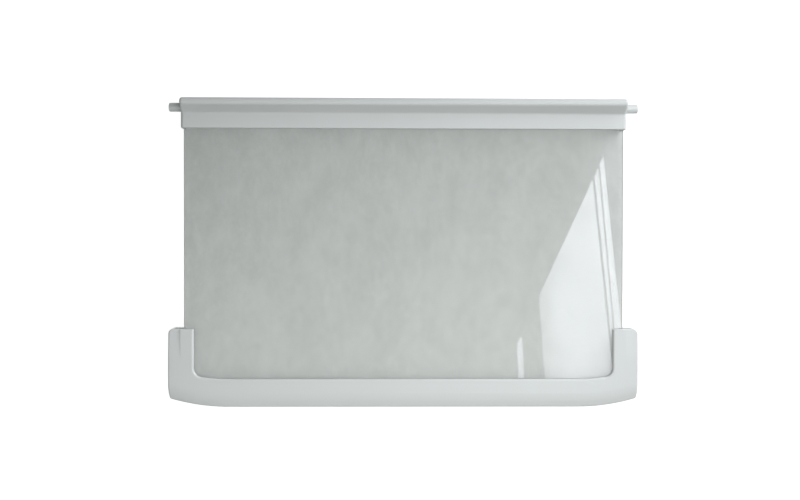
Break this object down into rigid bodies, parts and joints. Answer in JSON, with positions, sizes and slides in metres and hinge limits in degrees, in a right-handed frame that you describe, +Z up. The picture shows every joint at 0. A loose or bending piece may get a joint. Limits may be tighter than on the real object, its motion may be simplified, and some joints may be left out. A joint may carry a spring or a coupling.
{
  "type": "fridge glass shelf",
  "caption": "Flat fridge shelf: a clear glass pane in a U-shaped plastic front trim and a rear trim with a raised back stop and side pegs.",
  "frame": {"origin": "under the middle of the shelf, on the surface that it lies on", "axes": "+X across the shelf to the right, +Y to the rear edge with the pegs, +Z up out of the glass"},
  "size_m": [0.4758, 0.311, 0.0271],
  "materials": {
    "clear_glass": "clear toughened glass with ground edges",
    "trim_plastic": "satin moulded, light grey"
  },
  "bodies": {
    "root": {"glass_pane": "clear_glass", "front_trim": "trim_plastic", "rear_trim": "trim_plastic"}
  },
  "joints": []
}
